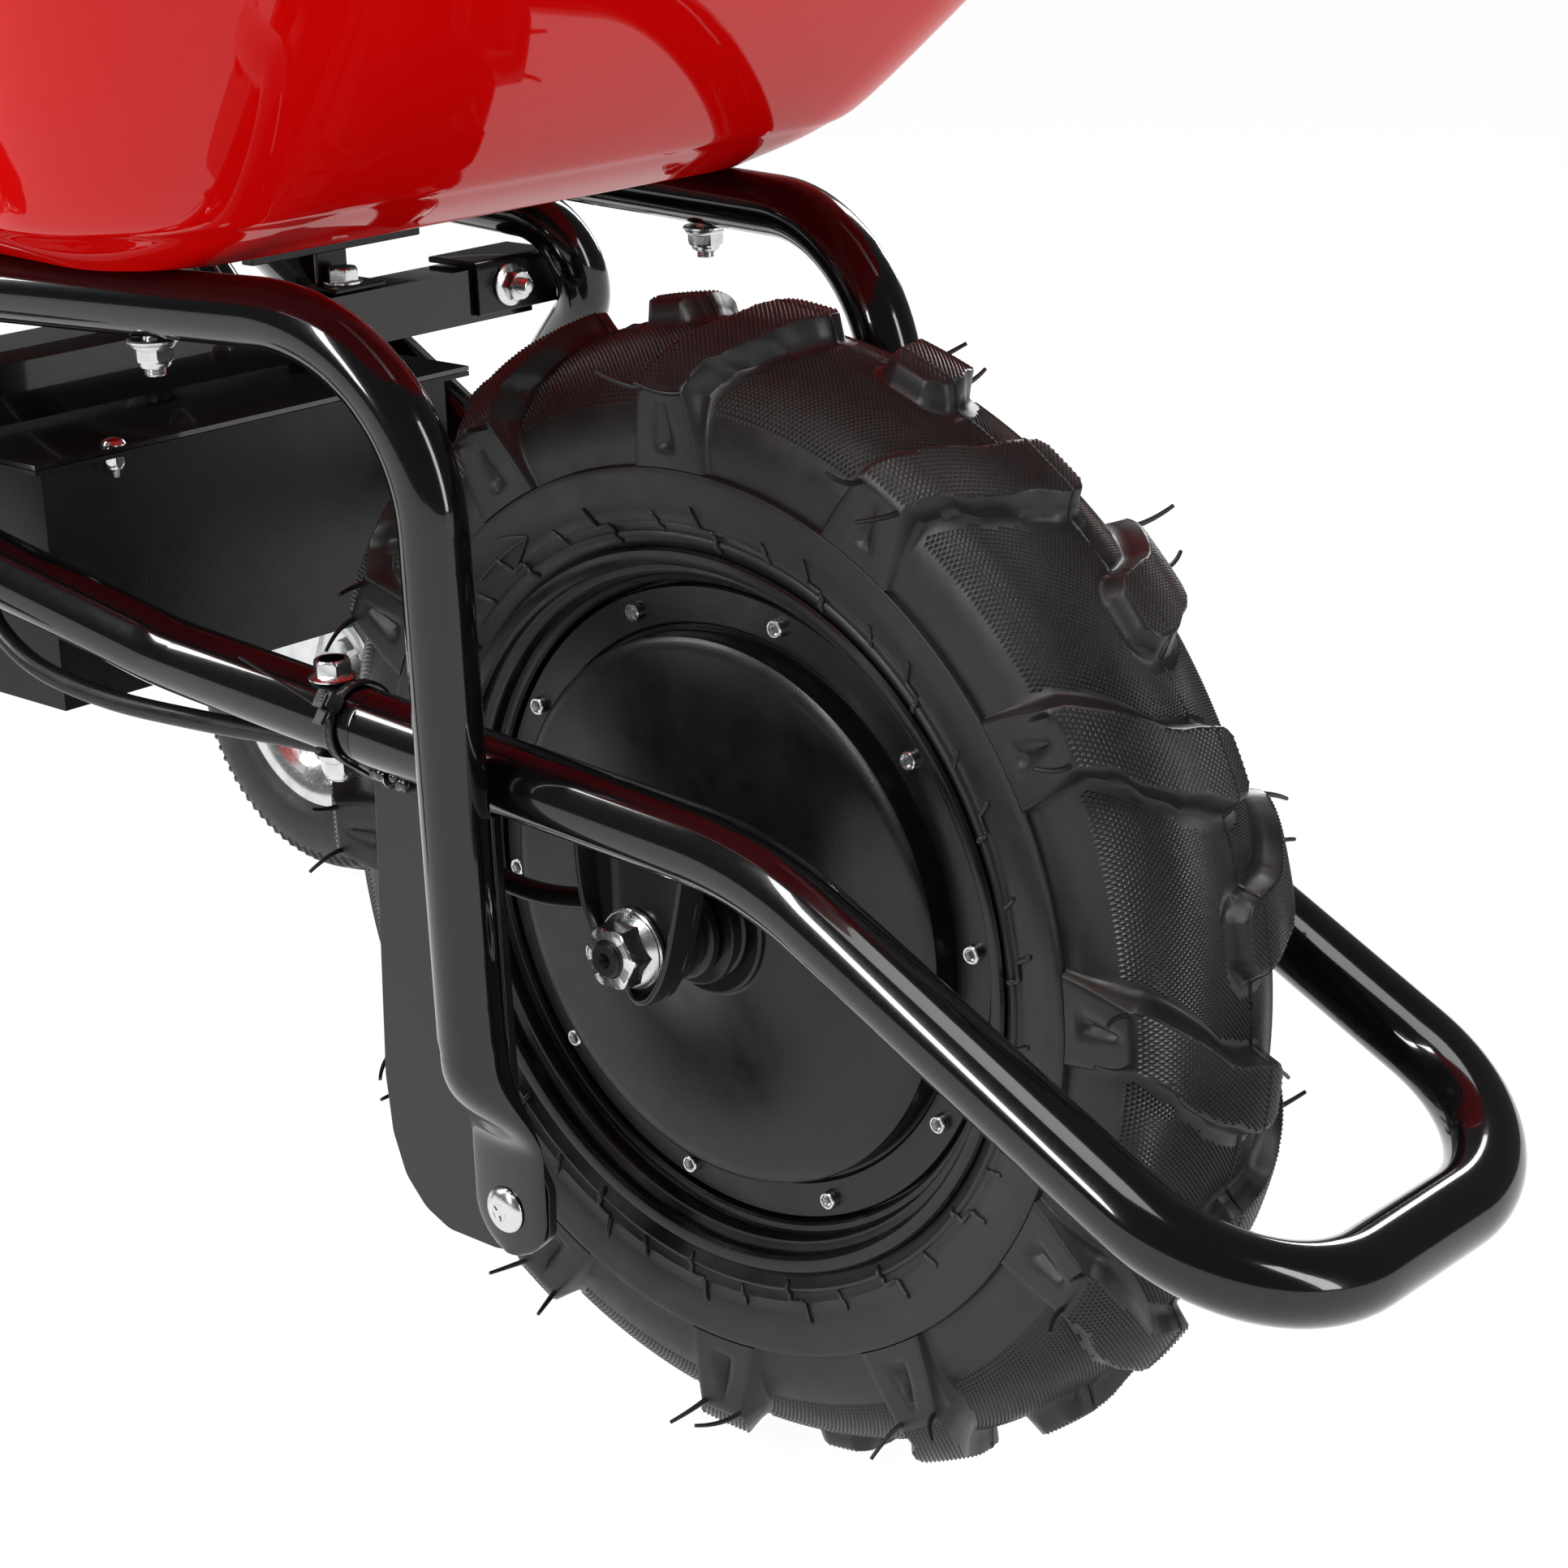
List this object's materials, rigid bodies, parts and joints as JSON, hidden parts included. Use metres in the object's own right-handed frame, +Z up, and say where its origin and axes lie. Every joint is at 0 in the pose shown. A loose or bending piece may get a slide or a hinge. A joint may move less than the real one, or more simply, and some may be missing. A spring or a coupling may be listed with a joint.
{
  "type": "power wheelbarrow",
  "caption": "Battery power wheelbarrow with a flared steel tray on a bent tube frame, a hub-motor front wheel with a lugged tyre, and swivel casters at the rear.",
  "frame": {"origin": "on the ground, under the middle of the whole object's length and width", "axes": "+X to the user's left, +Y back towards the handles, +Z up"},
  "size_m": [0.768, 1.349, 0.744],
  "materials": {
    "tray_enamel": "gloss red enamel",
    "frame_enamel": "gloss black enamel",
    "zinc": "bright zinc plate",
    "axle_steel": "oiled steel",
    "motor_core": "laminated steel and copper",
    "hub_casting": "satin black",
    "cover_enamel": "fine textured black",
    "drive_rubber": "moulded rubber",
    "caster_rubber": "dusty moulded rubber",
    "box_coating": "fine textured black powder coat",
    "lid_plastic": "gloss black sheet",
    "battery_case": "matt grey",
    "controller_case": "extruded",
    "cable_rubber": "satin sheath",
    "tie_nylon": "satin nylon",
    "grip_rubber": "matt rubber",
    "control_plastic": "fine grain",
    "brake_metal": "satin black"
  },
  "bodies": {
    "frame": {"tray": "tray_enamel", "front_loop": "frame_enamel", "handle_tube_right": "frame_enamel", "handle_tube_left": "frame_enamel", "support_tube_right": "frame_enamel", "support_tube_left": "frame_enamel", "gusset_plate_right": "frame_enamel", "gusset_plate_left": "frame_enamel", "axle_bracket_right": "frame_enamel", "axle_bracket_left": "frame_enamel", "crossmember_front": "frame_enamel", "crossmember_rear": "frame_enamel", "clip_bracket": "frame_enamel", "leg_right": "frame_enamel", "leg_left": "frame_enamel", "box_strap_front": "frame_enamel", "box_strap_rear": "frame_enamel", "joint_bolt_right": "zinc", "joint_bolt_left": "zinc", "support_screw_right": "zinc", "support_screw_left": "zinc", "axle_nut_right": "zinc", "axle_nut_left": "zinc", "clip_bolt": "zinc", "tray_bolt_front_right": "zinc", "tray_bolt_front_left": "zinc", "tray_bolt_rear_right": "zinc", "tray_bolt_rear_left": "zinc", "caster_plate_right": "zinc", "caster_plate_left": "zinc", "axle": "axle_steel", "stator": "motor_core", "battery_box": "box_coating", "battery_box_lid": "lid_plastic", "battery_right": "battery_case", "battery_left": "battery_case", "motor_controller": "controller_case", "motor_cable": "cable_rubber", "cable_tie": "tie_nylon", "grip_right": "grip_rubber", "grip_left": "grip_rubber", "control_pod": "control_plastic", "brake_perch": "brake_metal"},
    "drive_wheel": {"hub_rim": "hub_casting", "motor_cover_right": "cover_enamel", "motor_cover_left": "cover_enamel", "drive_tyre": "drive_rubber"},
    "caster_right": {"caster_fork_right": "zinc", "caster_axle_right": "zinc"},
    "caster_wheel_right": {"caster_rim_right": "zinc", "caster_tyre_right": "caster_rubber"},
    "caster_left": {"caster_fork_left": "zinc", "caster_axle_left": "zinc"},
    "caster_wheel_left": {"caster_rim_left": "zinc", "caster_tyre_left": "caster_rubber"},
    "throttle_lever": {"throttle_lever": "control_plastic"},
    "brake_lever": {"brake_lever": "brake_metal"},
    "rocker_switch": {"rocker_switch": "control_plastic"},
    "key_switch": {"key_switch": "zinc"}
  },
  "joints": [
    {"name": "drive_wheel_spin", "type": "hinge", "parent": "frame", "child": "drive_wheel", "pos_m": [0, -0.3754, 0.228], "axis": [1, 0, 0], "continuous": true},
    {"name": "caster_swivel_right", "type": "hinge", "parent": "frame", "child": "caster_right", "pos_m": [-0.33, 0.2246, 0.24], "axis": [0, 0, 1], "continuous": true},
    {"name": "caster_roll_right", "type": "hinge", "parent": "caster_right", "child": "caster_wheel_right", "pos_m": [-0.33, 0.2686, 0.111], "axis": [1, 0, 0], "continuous": true},
    {"name": "caster_swivel_left", "type": "hinge", "parent": "frame", "child": "caster_left", "pos_m": [0.33, 0.2246, 0.24], "axis": [0, 0, 1], "continuous": true},
    {"name": "caster_roll_left", "type": "hinge", "parent": "caster_left", "child": "caster_wheel_left", "pos_m": [0.33, 0.2686, 0.111], "axis": [1, 0, 0], "continuous": true},
    {"name": "throttle_press", "type": "hinge", "parent": "frame", "child": "throttle_lever", "pos_m": [-0.26508, 0.53287, 0.6157], "axis": [-0.1383, 0.8454, 0.516], "range_deg": [0, 50], "stiffness_Nm_per_rad": 0.25, "springref_deg": -11.46},
    {"name": "brake_squeeze", "type": "hinge", "parent": "frame", "child": "brake_lever", "pos_m": [0.26508, 0.5511, 0.58582], "axis": [0.9904, -0.1181, -0.0721], "range_deg": [0, 9], "stiffness_Nm_per_rad": 3, "springref_deg": -11.46},
    {"name": "rocker_tilt", "type": "hinge", "parent": "frame", "child": "rocker_switch", "pos_m": [-0.25567, 0.4535, 0.61646], "axis": [-0.9904, -0.1181, -0.0721], "range_deg": [-8, 8]},
    {"name": "key_turn", "type": "hinge", "parent": "frame", "child": "key_switch", "pos_m": [-0.25982, 0.47886, 0.63194], "axis": [0, -0.521, 0.8536], "range_deg": [0, 90]}
  ]
}
